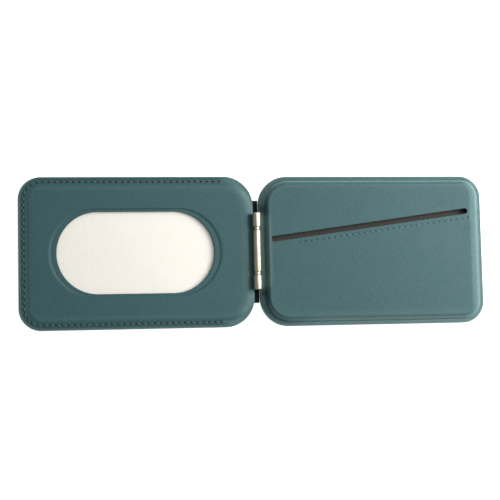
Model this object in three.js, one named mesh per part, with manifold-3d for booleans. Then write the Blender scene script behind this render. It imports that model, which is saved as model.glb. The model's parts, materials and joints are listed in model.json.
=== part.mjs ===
// A two-panel card holder: a leather-covered window panel and a moulded leather slot panel,
// joined by a metal barrel hinge. It lies open and flat on z = 0, faces up, in millimetres:
// +X runs along the length (slot panel on +X), +Y along the hinge barrel, +Z out of the faces.

import * as THREE from "three";
import { mergeVertices } from "three/addons/utils/BufferGeometryUtils.js";
import Module from "manifold-3d";

const wasm = await Module();
wasm.setup();

// ---- Driving dimensions -------------------------------------------------------------------

const PANEL = { length: 100, width: 65, hingeGap: 2.6, outerCorner: 9.5, hingeCorner: 12.5 };
const GLUE = 0.1; // glue line between stacked layers
const FIT = 0.3; // side clearance of a piece inside its pocket
const BACK = 0.9; // back leather thickness
const BOARD = 1.2; // stiffening board thickness
const LEATHER = 0.9; // face leather thickness, also sideways through the moulded slope

// Heights of a panel's plateau, of its rim and of its edge at the hinge, and widths of the flat
// rim (foot) and of the moulded slope, measured inwards from the outline.
const WINDOW_PANEL = {
  side: -1,
  top: 4.3,
  rim: 4.0,
  hingeRim: 3.2,
  foot: { outer: 3.6, hinge: 0.3, side: 2.8 },
  slope: { outer: 2.6, hinge: 4.6, side: 2.0 },
};
const SLOT_PANEL = {
  side: 1,
  top: 5.8,
  rim: 3.2,
  hingeRim: 3.2,
  foot: { outer: 1.7, hinge: 2.3, side: 1.6 },
  slope: { outer: 4.6, hinge: 2.1, side: 2.6 },
};
const SLOPE_SKEW = 0.6; // below 1 the slope is steepest near its foot
const RIM_DROP = { from: 14, to: 4 }; // where the rim drops to its edge, from the hinge side
const EDGE_ROUND = 0.3;

const WINDOW = { offset: 0.6, length: 67, width: 35, stepLength: 5.6, stepWidth: 3.0, stepDepth: 0.35 };
const SLOT = { from: [6.0, 4.9], to: [94.3, 16.8], width: 2.3 };
const SEAM = { thread: 0.45, inset: 2.2, start: 15, below: 3.1, slotStart: 12, slotEnd: 0.5 };

const CLOSED_GAP = 0.5; // between the two faces when the holder is shut
const AXIS_Z = (WINDOW_PANEL.top + SLOT_PANEL.top + CLOSED_GAP) / 2;
const BARREL = { radius: 1.6, outerRadius: 1.75, bore: 1.0, pin: 0.95, length: 33, bevel: 0.25 };
const KNUCKLE = { outer: 6, neck: 1.6 }; // lengths of an outer knuckle and of the neck beside it
const WASHER = { radius: 1.3, clearance: 0.1 }; // the washers fill the necks
const LEAF = { thickness: 0.6, webInner: 0.6, reach: 13, clearance: 0.3, roof: 0.1 };
const RIVET = { x: 9.5, y: 6, slotY: 13, stem: 0.8, head: 1.7, headDepth: 0.3, clearance: 0.1 };
const MAGNET = { x: 91, y: 18, radius: 4, thickness: 1.0, clearance: 0.1 };
const STRIP = { length: 44.5, from: -6, to: 1.15, low: 0.45, thickness: 0.4 };

const FILM = { margin: 4, thickness: 0.2 };
const INLAY = { margin: 3.5, thickness: 0.2 };
const FRAME = { margin: 8, hole: 0.5 };
const LINING = 0.2; // pocket lining thickness
const LINING_MARGIN = 0.4; // how far the slot in the lining is wider than in the leather
const LIP = { width: 6.5, thickness: 0.25, overlap: 2.2 };

const CORNER_STEPS = 10; // straight steps in one rounded corner
const SLOPE_STEPS = 7; // straight steps in the moulded slope
const ROUND_STEPS = 32; // facets on small round pieces
const THREAD_SIDES = 6;
const BORDER_SEAM_STEPS = 64; // straight steps in the seam round the window panel
const GROOVE_MARGIN = 0.25; // how much wider a seam's groove is than its thread
const OVERSHOOT = 1; // how far a cutter passes through what it cuts

// ---- Layer heights, worked out from the dimensions ------------------------------------------

const BOARD_Z = BACK + GLUE;
const BOARD_TOP = BOARD_Z + BOARD;
const FACE_Z = BOARD_TOP + GLUE;
const FRAME_Z = FACE_Z + INLAY.thickness + GLUE;
const FILM_TOP = WINDOW_PANEL.top - LEATHER - GLUE;
const FILM_Z = FILM_TOP - FILM.thickness;
const LIP_TOP = SLOT_PANEL.top - LEATHER - GLUE;
const LINING_FRONT_TOP = LIP_TOP - LIP.thickness - GLUE;
const HALF_GAP = PANEL.hingeGap / 2;
const WINDOW_X = -(HALF_GAP + PANEL.length / 2 + WINDOW.offset);
const MIDDLE_KNUCKLE = BARREL.length - 2 * (KNUCKLE.outer + KNUCKLE.neck);

// ---- Solid helpers ---------------------------------------------------------------------------

function toSolid(geometry) {
  const bare = geometry.index ? geometry.toNonIndexed() : geometry.clone();
  bare.deleteAttribute("normal");
  bare.deleteAttribute("uv");
  const merged = mergeVertices(bare, 1e-5);
  return new wasm.Manifold(
    new wasm.Mesh({
      numProp: 3,
      vertProperties: new Float32Array(merged.attributes.position.array),
      triVerts: new Uint32Array(merged.index.array),
    }),
  );
}

function toGeometry(solid) {
  const mesh = solid.getMesh();
  const geometry = new THREE.BufferGeometry();
  geometry.setAttribute("position", new THREE.BufferAttribute(mesh.vertProperties, 3));
  geometry.setIndex(new THREE.BufferAttribute(mesh.triVerts, 1));
  geometry.computeVertexNormals();
  return geometry;
}

function cut(geometry, ...tools) {
  let solid = toSolid(geometry);
  for (const tool of tools) {
    solid = solid.subtract(toSolid(tool));
  }
  return toGeometry(solid);
}

function join(geometry, ...others) {
  let solid = toSolid(geometry);
  for (const other of others) {
    solid = solid.add(toSolid(other));
  }
  return toGeometry(solid);
}

// ---- Outlines --------------------------------------------------------------------------------

// The panel's outline moved inwards, as points running anticlockwise seen from above.
function panelOutline(side, inset) {
  const outerX = side * (HALF_GAP + PANEL.length - inset.outer);
  const hingeX = side * (HALF_GAP + inset.hinge);
  const y = PANEL.width / 2 - inset.side;
  const outerRadius = PANEL.outerCorner - (inset.outer + inset.side) / 2;
  const hingeRadius = PANEL.hingeCorner - (inset.hinge + inset.side) / 2;
  const right = side > 0 ? { x: outerX, r: outerRadius } : { x: hingeX, r: hingeRadius };
  const left = side > 0 ? { x: hingeX, r: hingeRadius } : { x: outerX, r: outerRadius };
  const corners = [
    { x: right.x - right.r, y: right.r - y, r: right.r },
    { x: right.x - right.r, y: y - right.r, r: right.r },
    { x: left.x + left.r, y: y - left.r, r: left.r },
    { x: left.x + left.r, y: left.r - y, r: left.r },
  ];
  const points = [];
  corners.forEach((corner, quarter) => {
    for (let i = 0; i <= CORNER_STEPS; i++) {
      const angle = (Math.PI / 2) * (quarter - 1 + i / CORNER_STEPS);
      const x = corner.x + corner.r * Math.cos(angle);
      const y = corner.y + corner.r * Math.sin(angle);
      points.push(new THREE.Vector2(x, y));
    }
  });
  return points;
}

function evenInset(distance) {
  return { outer: distance, hinge: distance, side: distance };
}

// The inset of the moulded slope at a fraction of its width, beyond its foot.
function slopeInset(panel, fraction, extra) {
  return {
    outer: panel.foot.outer + panel.slope.outer * fraction + extra,
    hinge: panel.foot.hinge + panel.slope.hinge * fraction + extra,
    side: panel.foot.side + panel.slope.side * fraction + extra,
  };
}

// The share of the slope's height that is reached at a fraction of its width.
function slopeRise(fraction) {
  return (1 - Math.cos(Math.PI * fraction ** SLOPE_SKEW)) / 2;
}

// The inset at which a layer whose top is at height z clears the inside of the moulded slope.
function insideInset(panel, z) {
  const rise = (z + GLUE - FACE_Z) / (panel.top - LEATHER - FACE_Z);
  const fraction = (Math.acos(1 - 2 * Math.min(rise, 1)) / Math.PI) ** (1 / SLOPE_SKEW);
  return slopeInset(panel, fraction, LEATHER + FIT);
}

function stadium(centreX, centreY, length, width) {
  const radius = width / 2;
  const reach = length / 2 - radius;
  const shape = new THREE.Shape();
  shape.absarc(centreX + reach, centreY, radius, -Math.PI / 2, Math.PI / 2, false);
  shape.absarc(centreX - reach, centreY, radius, Math.PI / 2, (3 * Math.PI) / 2, false);
  return shape;
}

function disc(x, y, radius) {
  const shape = new THREE.Shape();
  shape.absarc(x, y, radius, 0, 2 * Math.PI, false);
  return shape;
}

// ---- Geometry builders -----------------------------------------------------------------------

function plate(shape, fromZ, toZ, curveSegments = 12) {
  const options = { depth: toZ - fromZ, bevelEnabled: false, curveSegments };
  const geometry = new THREE.ExtrudeGeometry(shape, options);
  geometry.translate(0, 0, fromZ);
  return geometry;
}

function box(fromX, toX, fromY, toY, fromZ, toZ) {
  const geometry = new THREE.BoxGeometry(toX - fromX, toY - fromY, toZ - fromZ);
  geometry.translate((fromX + toX) / 2, (fromY + toY) / 2, (fromZ + toZ) / 2);
  return geometry;
}

// A plate whose outline is the panel's, moved inwards.
function panelPlate(side, inset, fromZ, toZ) {
  return plate(new THREE.Shape(panelOutline(side, inset)), fromZ, toZ);
}

// A closed skin over rings of equal point counts: capped at the first ring and at the last one.
// Each ring has an outline, and heightAt gives the height of a point on it.
function ringSolid(rings) {
  const count = rings[0].outline.length;
  const positions = [];
  rings.forEach((ring) => {
    ring.outline.forEach((point) => positions.push(point.x, point.y, ring.heightAt(point)));
  });
  const index = [];
  for (let k = 0; k < rings.length - 1; k++) {
    for (let i = 0; i < count; i++) {
      const next = (i + 1) % count;
      const a = k * count + i;
      const b = (k + 1) * count + i;
      const c = (k + 1) * count + next;
      const d = k * count + next;
      index.push(a, b, c, a, c, d);
    }
  }
  const cap = THREE.ShapeUtils.triangulateShape(rings[0].outline, []);
  const last = (rings.length - 1) * count;
  cap.forEach(([a, b, c]) => {
    index.push(a, b, c);
    index.push(last + a, last + c, last + b);
  });
  const geometry = new THREE.BufferGeometry();
  geometry.setAttribute("position", new THREE.Float32BufferAttribute(positions, 3));
  geometry.setIndex(index);
  return geometry;
}

// The height of the rim's top, which drops towards the hinge side.
function rimHeight(panel, point) {
  const fromHinge = Math.abs(point.x) - HALF_GAP;
  const share = THREE.MathUtils.smoothstep(fromHinge, RIM_DROP.to, RIM_DROP.from);
  return panel.hingeRim + (panel.rim - panel.hingeRim) * share;
}

// A moulded leather face: a flat rim, a soft slope and a raised plateau, hollow underneath.
function mouldedFace(panel) {
  const outlineAt = (inset) => panelOutline(panel.side, inset);
  const ceiling = panel.top - LEATHER;
  const rings = [];
  for (let i = SLOPE_STEPS; i >= 0; i--) {
    const fraction = i / SLOPE_STEPS;
    const heightAt = (point) => {
      const rim = rimHeight(panel, point);
      return rim + (panel.top - rim) * slopeRise(fraction);
    };
    rings.push({ outline: outlineAt(slopeInset(panel, fraction, 0)), heightAt });
  }
  rings.push({ outline: outlineAt(evenInset(EDGE_ROUND)), heightAt: (point) => rimHeight(panel, point) });
  rings.push({ outline: outlineAt(evenInset(0)), heightAt: (point) => rimHeight(panel, point) - EDGE_ROUND });
  rings.push({ outline: outlineAt(evenInset(0)), heightAt: () => FACE_Z });
  for (let i = 0; i <= SLOPE_STEPS; i++) {
    const fraction = i / SLOPE_STEPS;
    const height = FACE_Z + (ceiling - FACE_Z) * slopeRise(fraction);
    rings.push({ outline: outlineAt(slopeInset(panel, fraction, LEATHER)), heightAt: () => height });
  }
  return ringSolid(rings);
}

// A turned piece standing upright at (x, y).
function turned(profile, x, y) {
  const points = profile.map(([radius, height]) => new THREE.Vector2(radius, height));
  const geometry = new THREE.LatheGeometry(points, ROUND_STEPS);
  geometry.rotateX(Math.PI / 2);
  geometry.translate(x, y, 0);
  return geometry;
}

// A tube or pin along Y, centred on the hinge axis.
function barrelPiece(profile) {
  const points = profile.map(([radius, y]) => new THREE.Vector2(radius, y));
  const geometry = new THREE.LatheGeometry(points, ROUND_STEPS);
  geometry.translate(0, 0, AXIS_Z);
  return geometry;
}

function thread(path, diameter, steps) {
  const section = new THREE.Shape();
  for (let i = 0; i < THREAD_SIDES; i++) {
    const angle = (2 * Math.PI * i) / THREAD_SIDES;
    const point = [(diameter / 2) * Math.cos(angle), (diameter / 2) * Math.sin(angle)];
    if (i === 0) section.moveTo(...point);
    else section.lineTo(...point);
  }
  section.closePath();
  return new THREE.ExtrudeGeometry(section, { steps, extrudePath: path, bevelEnabled: false });
}

// ---- Seams -----------------------------------------------------------------------------------

// The U-shaped seam round three sides of the window panel, at height z.
function borderSeam(z) {
  const roundness = 0.5523; // of a cubic curve that stands for a quarter circle
  const x = -(HALF_GAP + PANEL.length) + SEAM.inset;
  const y = PANEL.width / 2 - SEAM.inset;
  const radius = PANEL.outerCorner - SEAM.inset;
  const start = -(HALF_GAP + SEAM.start);
  const at = (px, py) => new THREE.Vector3(px, py, z);
  const pull = radius * (1 - roundness);
  const path = new THREE.CurvePath();
  const corner = (...points) => path.add(new THREE.CubicBezierCurve3(...points));
  path.add(new THREE.LineCurve3(at(start, y), at(x + radius, y)));
  corner(at(x + radius, y), at(x + pull, y), at(x, y - pull), at(x, y - radius));
  path.add(new THREE.LineCurve3(at(x, y - radius), at(x, radius - y)));
  corner(at(x, radius - y), at(x, pull - y), at(x + pull, -y), at(x + radius, -y));
  path.add(new THREE.LineCurve3(at(x + radius, -y), at(start, -y)));
  return path;
}

function slotFrame() {
  const from = new THREE.Vector2(...SLOT.from);
  const to = new THREE.Vector2(...SLOT.to);
  const along = to.clone().sub(from).normalize();
  const down = new THREE.Vector2(along.y, -along.x);
  return { from, to, along, down, length: to.distanceTo(from), centre: from.clone().lerp(to, 0.5) };
}

function borderThread() {
  return thread(borderSeam(WINDOW_PANEL.rim), SEAM.thread, BORDER_SEAM_STEPS);
}

// The short straight seam under the card slot, at height z.
function slotSeam(z) {
  const { from, to, along, down } = slotFrame();
  const start = from.clone().addScaledVector(along, SEAM.slotStart).addScaledVector(down, SEAM.below);
  const end = to.clone().addScaledVector(along, -SEAM.slotEnd).addScaledVector(down, SEAM.below);
  return new THREE.LineCurve3(new THREE.Vector3(start.x, start.y, z), new THREE.Vector3(end.x, end.y, z));
}

function borderGroove() {
  return thread(borderSeam(WINDOW_PANEL.rim), SEAM.thread + GROOVE_MARGIN, BORDER_SEAM_STEPS);
}

function slotGroove() {
  return thread(slotSeam(SLOT_PANEL.top), SEAM.thread + GROOVE_MARGIN, 1);
}

// ---- Pieces of the window panel --------------------------------------------------------------

function leafSpan(panel) {
  return panel.side > 0 ? BARREL.length / 2 : MIDDLE_KNUCKLE / 2;
}

// The pocket in the underside of the board that the hinge leaf lies in.
function leafPocket(panel) {
  const halfY = leafSpan(panel) + LEAF.clearance;
  const far = panel.side * (HALF_GAP + LEAF.reach + LEAF.clearance);
  const top = BOARD_Z + LEAF.thickness + LEAF.roof;
  return box(Math.min(0, far), Math.max(0, far), -halfY, halfY, BOARD_Z - OVERSHOOT, top);
}

// A plate in the window's shape, larger all round by the margin.
function windowPlate(margin, fromZ, toZ) {
  return plate(stadium(WINDOW_X, 0, WINDOW.length + 2 * margin, WINDOW.width + 2 * margin), fromZ, toZ);
}

function windowFace() {
  const panel = WINDOW_PANEL;
  const step = stadium(WINDOW_X, 0, WINDOW.length + WINDOW.stepLength, WINDOW.width + WINDOW.stepWidth);
  return cut(
    mouldedFace(panel),
    windowPlate(0, BOARD_Z, panel.top + OVERSHOOT),
    plate(step, panel.top - WINDOW.stepDepth, panel.top + OVERSHOOT),
    borderGroove(),
  );
}

// The ring of board that keeps the film off the inlay.
function windowFrame() {
  const top = FILM_Z - GLUE;
  const hole = windowPlate(FRAME.hole, FRAME_Z - OVERSHOOT, top + OVERSHOOT);
  return cut(windowPlate(FRAME.margin, FRAME_Z, top), hole);
}

function windowFilm() {
  return windowPlate(FILM.margin, FILM_Z, FILM_TOP);
}

function windowInlay() {
  return windowPlate(INLAY.margin, FACE_Z, FACE_Z + INLAY.thickness);
}

// ---- Pieces that both panels have ------------------------------------------------------------

function rivetPlaces(panel) {
  const y = panel.side > 0 ? RIVET.slotY : RIVET.y;
  return [y, -y].map((py) => [panel.side * RIVET.x, py]);
}

function magnetPlaces(panel) {
  return [MAGNET.y, -MAGNET.y].map((py) => [panel.side * MAGNET.x, py]);
}

function backCover(panel) {
  return panelPlate(panel.side, evenInset(0), 0, BACK);
}

// The window panel's back leather is thinned at the hinge, where the spine strip is glued in.
function windowBackCover() {
  const halfY = STRIP.length / 2 + FIT;
  const seat = box(STRIP.from - FIT, 0, -halfY, halfY, STRIP.low - GLUE / 2, BACK + OVERSHOOT);
  return cut(backCover(WINDOW_PANEL), seat);
}

// The stiff board, with a pocket for the hinge leaf, seats for the rivets and holes for the magnets.
function stiffBoard(panel) {
  const tools = [leafPocket(panel)];
  const low = BOARD_Z - OVERSHOOT;
  const high = BOARD_TOP + OVERSHOOT;
  const seatLow = BOARD_TOP - RIVET.headDepth - RIVET.clearance;
  for (const [x, y] of rivetPlaces(panel)) {
    tools.push(plate(disc(x, y, RIVET.stem + RIVET.clearance), low, high, 6));
    tools.push(plate(disc(x, y, RIVET.head + RIVET.clearance), seatLow, high, 8));
  }
  for (const [x, y] of magnetPlaces(panel)) {
    tools.push(plate(disc(x, y, MAGNET.radius + MAGNET.clearance), low, high, 8));
  }
  return cut(panelPlate(panel.side, evenInset(0), BOARD_Z, BOARD_TOP), ...tools);
}

// A hinge leaf: a flat plate in the panel, webs rising in the gap, and its knuckles round the pin.
function hingeLeaf(panel) {
  const { side } = panel;
  const low = BOARD_Z;
  const high = BOARD_Z + LEAF.thickness;
  const webInner = side * LEAF.webInner;
  const webOuter = side * (LEAF.webInner + LEAF.thickness);
  const reach = side * (HALF_GAP + LEAF.reach);
  const halfY = leafSpan(panel);
  const webTop = AXIS_Z - BARREL.radius + LEAF.thickness;
  const end = BARREL.length / 2;
  const outerKnuckles = [[-end, KNUCKLE.outer - end], [end - KNUCKLE.outer, end]];
  const knuckles = side > 0 ? outerKnuckles : [[-MIDDLE_KNUCKLE / 2, MIDDLE_KNUCKLE / 2]];
  const radius = side > 0 ? BARREL.outerRadius : BARREL.radius;
  const pieces = [box(Math.min(webInner, reach), Math.max(webInner, reach), -halfY, halfY, low, high)];
  for (const [from, to] of knuckles) {
    pieces.push(box(Math.min(webInner, webOuter), Math.max(webInner, webOuter), from, to, low, webTop));
    pieces.push(knuckle(radius, from, to));
  }
  const holes = rivetPlaces(panel).map(([x, y]) => {
    return plate(disc(x, y, RIVET.stem + RIVET.clearance), low - OVERSHOOT, high + OVERSHOOT, 6);
  });
  return cut(join(...pieces), pinShape(BARREL.bore, BARREL.length), ...holes);
}

function knuckle(radius, from, to) {
  const { bevel } = BARREL;
  return barrelPiece([[0, from], [radius - bevel, from], [radius, from + bevel], [radius, to - bevel],
    [radius - bevel, to], [0, to]]);
}

// A plain cylinder on the hinge axis.
function pinShape(radius, halfLength) {
  return barrelPiece([[0, -halfLength], [radius, -halfLength], [radius, halfLength], [0, halfLength]]);
}

function hingePin() {
  return pinShape(BARREL.pin, BARREL.length / 2);
}

// A washer on the pin, in the neck between the middle knuckle and an outer one.
function hingeWasher(direction) {
  const { radius, clearance } = WASHER;
  const near = direction * (MIDDLE_KNUCKLE / 2 + clearance);
  const far = direction * (MIDDLE_KNUCKLE / 2 + KNUCKLE.neck - clearance);
  const from = Math.min(near, far);
  const to = Math.max(near, far);
  return barrelPiece([[BARREL.bore, from], [radius, from], [radius, to], [BARREL.bore, to],
    [BARREL.bore, from]]);
}

// A flush rivet through the leaf and the board: a stem with a broad flat head on top.
function rivet(x, y) {
  const neck = BOARD_TOP - RIVET.headDepth;
  return turned([[0, BOARD_Z], [RIVET.stem, BOARD_Z], [RIVET.stem, neck], [RIVET.head, neck],
    [RIVET.head, BOARD_TOP], [0, BOARD_TOP]], x, y);
}

function magnet(x, y) {
  const low = BOARD_Z + (BOARD - MAGNET.thickness) / 2;
  return plate(disc(x, y, MAGNET.radius), low, low + MAGNET.thickness, 12);
}

// The dark strip that fills the gap behind the barrel.
function spineStrip() {
  const halfY = STRIP.length / 2;
  return box(STRIP.from, STRIP.to, -halfY, halfY, STRIP.low, STRIP.low + STRIP.thickness);
}

// ---- Pieces of the slot panel ----------------------------------------------------------------

function slotCutter(extra, fromZ, toZ) {
  const { centre, along, length } = slotFrame();
  const geometry = plate(stadium(0, 0, length + 2 * extra, SLOT.width + 2 * extra), fromZ, toZ, 8);
  geometry.rotateZ(Math.atan2(along.y, along.x));
  geometry.translate(centre.x, centre.y, 0);
  return geometry;
}

function slotFace() {
  const panel = SLOT_PANEL;
  return cut(mouldedFace(panel), slotCutter(0, panel.top - 2 * LEATHER, panel.top + OVERSHOOT), slotGroove());
}

// The strip behind the slot's lower lip, which the short seam holds.
function slotLip() {
  const { centre, along, down, length } = slotFrame();
  const geometry = box(-length / 2 + LIP.overlap, length / 2 - LIP.overlap, -LIP.width, 0, 0, LIP.thickness);
  geometry.rotateZ(Math.atan2(along.y, along.x));
  const edge = centre.clone().addScaledVector(down, SLOT.width / 2 + LINING_MARGIN);
  geometry.translate(edge.x, edge.y, LIP_TOP - LIP.thickness);
  return geometry;
}

function liningFront() {
  const low = LINING_FRONT_TOP - LINING;
  const sheet = panelPlate(1, insideInset(SLOT_PANEL, LINING_FRONT_TOP), low, LINING_FRONT_TOP);
  return cut(sheet, slotCutter(LINING_MARGIN, low - OVERSHOOT, LINING_FRONT_TOP + OVERSHOOT));
}

function liningBack() {
  const top = FACE_Z + LINING;
  return panelPlate(1, insideInset(SLOT_PANEL, top), FACE_Z, top);
}

// ---- Materials -------------------------------------------------------------------------------

function material(color, roughness, metalness = 0, opacity = 1) {
  return new THREE.MeshStandardMaterial({ color, roughness, metalness, opacity, transparent: opacity < 1 });
}

const LOOKS = {
  leather: material(0x557c7e, 0.55),
  leatherBack: material(0x4a6f72, 0.6),
  thread: material(0x2b4a4d, 0.7),
  inlay: material(0xf6f2e8, 0.5),
  film: material(0xf4f6f6, 0.1, 0, 0.3),
  board: material(0x3a3a38, 0.8),
  lining: material(0x4b443e, 0.9),
  strip: material(0x1e2430, 0.75),
  gold: material(0xd9cfb6, 0.25, 1),
  magnet: material(0xa9abad, 0.35, 1),
  steel: material(0x8f9193, 0.4, 1),
};

// ---- Assembly --------------------------------------------------------------------------------

const holder = new THREE.Group();

function add(group, name, geometry, look) {
  const mesh = new THREE.Mesh(geometry, look);
  mesh.name = name;
  group.add(mesh);
}

function addSharedPieces(group, panel, prefix) {
  add(group, `${prefix}_board`, stiffBoard(panel), LOOKS.board);
  add(group, `${prefix}_hinge_leaf`, hingeLeaf(panel), LOOKS.gold);
  const ends = ["upper", "lower"];
  rivetPlaces(panel).forEach(([x, y], i) => {
    add(group, `${prefix}_leaf_rivet_${ends[i]}`, rivet(x, y), LOOKS.steel);
  });
  magnetPlaces(panel).forEach(([x, y], i) => {
    add(group, `${prefix}_magnet_${ends[i]}`, magnet(x, y), LOOKS.magnet);
  });
}

function windowPanel() {
  const group = new THREE.Group();
  addSharedPieces(group, WINDOW_PANEL, "window");
  add(group, "window_back_cover", windowBackCover(), LOOKS.leatherBack);
  add(group, "window_face", windowFace(), LOOKS.leather);
  add(group, "window_frame", windowFrame(), LOOKS.board);
  add(group, "window_film", windowFilm(), LOOKS.film);
  add(group, "window_inlay", windowInlay(), LOOKS.inlay);
  add(group, "window_thread", borderThread(), LOOKS.thread);
  add(group, "spine_strip", spineStrip(), LOOKS.strip);
  return group;
}

function slotPanel() {
  const group = new THREE.Group();
  addSharedPieces(group, SLOT_PANEL, "slot");
  add(group, "slot_back_cover", backCover(SLOT_PANEL), LOOKS.leatherBack);
  add(group, "slot_face", slotFace(), LOOKS.leather);
  add(group, "slot_lip_strip", slotLip(), LOOKS.board);
  add(group, "slot_lining_front", liningFront(), LOOKS.lining);
  add(group, "slot_lining_back", liningBack(), LOOKS.lining);
  add(group, "slot_thread", thread(slotSeam(SLOT_PANEL.top), SEAM.thread, 1), LOOKS.thread);
  add(group, "hinge_pin", hingePin(), LOOKS.gold);
  add(group, "hinge_washer_upper", hingeWasher(1), LOOKS.gold);
  add(group, "hinge_washer_lower", hingeWasher(-1), LOOKS.gold);
  return group;
}

holder.add(windowPanel());
holder.add(slotPanel());

export default holder;
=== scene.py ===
"""A two-panel leather card holder: its looks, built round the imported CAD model.

The helpers work in millimetres in the CAD frame, and make_piece turns them into metres.
"""

import json
import math

import bmesh
import bpy
import numpy as np
from mathutils import Matrix, Vector


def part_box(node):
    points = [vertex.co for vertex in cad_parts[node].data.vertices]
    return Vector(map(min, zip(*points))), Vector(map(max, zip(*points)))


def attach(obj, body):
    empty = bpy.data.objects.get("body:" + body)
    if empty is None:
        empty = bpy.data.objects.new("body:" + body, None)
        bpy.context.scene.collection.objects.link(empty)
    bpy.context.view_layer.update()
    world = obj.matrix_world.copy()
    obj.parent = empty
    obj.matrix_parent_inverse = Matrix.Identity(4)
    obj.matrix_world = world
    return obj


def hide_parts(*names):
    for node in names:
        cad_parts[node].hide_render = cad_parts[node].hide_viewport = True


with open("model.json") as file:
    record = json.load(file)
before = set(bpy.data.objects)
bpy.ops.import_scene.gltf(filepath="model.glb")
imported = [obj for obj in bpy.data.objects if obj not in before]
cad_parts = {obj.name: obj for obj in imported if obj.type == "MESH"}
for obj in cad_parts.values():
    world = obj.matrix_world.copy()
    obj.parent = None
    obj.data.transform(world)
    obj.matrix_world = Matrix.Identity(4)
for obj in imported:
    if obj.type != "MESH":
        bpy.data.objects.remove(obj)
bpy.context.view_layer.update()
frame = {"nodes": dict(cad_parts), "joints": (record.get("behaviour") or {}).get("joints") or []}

MM = 0.001

# ---- Dimensions, in millimetres ---------------------------------------------------------------

QUARTER = 240  # points in a quarter of a leather face's ring
CORNER = {"outer": 9.5, "hinge": 12.5}
LEATHER = 0.9
SLOPE_SKEW = 0.6  # below 1 the moulded slope is steepest near its foot
EDGE_ROLL = {"window": np.array([0.4, 0.25, 0.4]), "slot": np.array([0.45, 1.2, 0.45])}
EDGE_DROP = 0.4  # height of the rolled edge
HINGE_EDGE_DROP = {"window": 0.4, "slot": 0.75}
RIM = {"window": 4.0, "slot": 3.2}  # heights of the rims
HINGE_RIM = 3.2  # height that both rims drop to at the hinge
RIM_DROP = (4.0, 14.0)  # the drop's end and start, from the hinge side
WINDOW_LIP = 0.3  # how far the leather rolls over the edge of the window and of the slot
SLOT_LIP = 0.2
UNDULATION = 0.035
BACK_ROLL = 0.3  # rounding of the back cover's lower edge
BACK_MARGIN = 5.5  # how far in from the edge the back cover's even rings reach

# Widths of the flat rim and of the moulded slope, at the outer, hinge and long sides.
WINDOW_FOOT = np.array([3.6, 0.3, 2.8])
WINDOW_SLOPE = np.array([2.6, 4.6, 2.0])
SLOT_FOOT = np.array([1.7, 2.3, 1.6])
SLOT_SLOPE = np.array([4.6, 2.1, 2.6])

FILM_MARGIN = 4.0  # how far the film reaches under the leather
LEDGE = np.array([2.8, 1.1])  # width of the ledge round the window, at its ends and sides
LEDGE_DEPTH = 0.35
LEDGE_STEP = (0.75, 1.35)  # where the soft step up from the ledge starts and ends, in ledge widths

SLOT_FROM = np.array([6.0, 4.9])
SLOT_TO = np.array([94.3, 16.8])
SLOT_WIDTH = 2.3

PITCH = 2.6  # stitch length, hole to hole
THREAD = 0.42
HOLE = 0.33
SLOT_THREAD = 0.3
SLOT_HOLE = 0.26
STITCH_GAP = 0.75  # between the visible ends of neighbouring stitches
SEAM_INSET = 2.2
SEAM_START = 15.0  # from the hinge side of the window panel
SLOT_SEAM_BELOW = 3.1
SLOT_SEAM_TRIM = (12.0, 0.5)
SEAM_GROOVE = 0.5  # half width of the groove a seam presses in the leather
SEAM_GROOVE_SHARE = 0.23  # the groove's depth, as a share of a hole's
HOLE_DEPTH = 0.35
SLOT_HOLE_DEPTH = 0.22
BACK_GROOVE = 0.42
BACK_GROOVE_DEPTH = 0.34
BACK_HOLE_DEPTH = 0.12

CREASE_INSET = 1.2  # the pressed line outside the window panel's seam
CREASE_WIDTH = 0.4
CREASE_DEPTH = 0.12
CREASE_ENDS = (11.0, 16.0)  # where it fades out, from the hinge side
BEAD_INSET = 2.2  # the thin raised line round the foot of the slot panel's slope
BEAD_HEIGHT = 0.16
BEAD_WIDTH = 0.38
BEAD_FAINT = 0.25  # its strength away from the panel's upper side
# The hollows beside the strip's ends also get painted shade, through the crease attribute.
STRIP_END_Y = 18.3  # the shallow hollows beside the ends of the spine strip
STRIP_END_LENGTH = 1.7
STRIP_END_REACH = (1.6, 3.2)
STRIP_END_DEPTH = 0.3

# How pale the leather is painted, from 0 to 1: rubbed wear at edges and crown, painted highlight
# at the rim, flange and corners.
EDGE_WEAR = 0.7
CROWN_WEAR = 0.12
OUTER_WEAR_AND_SHEEN = 0.8  # the slot panel's rim at its outer and lower sides
LOWER_WEAR_AND_SHEEN = 0.6
FLANGE_PAINTED_LIGHT = 0.4  # the slot panel's rim beside the barrel
CORNER_HIGHLIGHT = 0.35  # the window panel's corners at the hinge

EDGE_PAINT_LOW = 0.32  # lower border of the painted edge
EDGE_PAINT_PROUD = 0.07
GLUE_LINE = 0.05  # how deep a glue line shows in the painted edge, and its offset
GLUE_LINE_WIDTH = 0.12

MIDDLE_RADIUS = 1.6
OUTER_RADIUS = 1.75
WASHER_RADIUS = 1.3
BORE = 1.0
PIN_RADIUS = 0.95
KNUCKLE_BEVEL = 0.25
OUTER_KNUCKLE = 6.0
LEAF_THICKNESS = 0.6
LEAF_WEB = 0.6  # the web's distance from the hinge axis
LEAF_BEVEL = 0.12
RIB_PITCH = 0.8
RIB_DEPTH = 0.06
RIBBON_ROWS = 260
RIBBON_EDGE = 0.12


# ---- Numbers and outlines ---------------------------------------------------------------------


def extent(node):
    """A CAD node's lowest and highest corners, in millimetres."""
    low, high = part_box(node)
    return np.array(low) / MM, np.array(high) / MM


def smooth(value, start, end):
    """0 before start, 1 after end, and a smooth change between them."""
    share = np.clip((value - start) / (end - start), 0, 1)
    return share * share * (3 - 2 * share)


def bell(distance, width):
    return np.exp(-((distance / width) ** 2))


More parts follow.
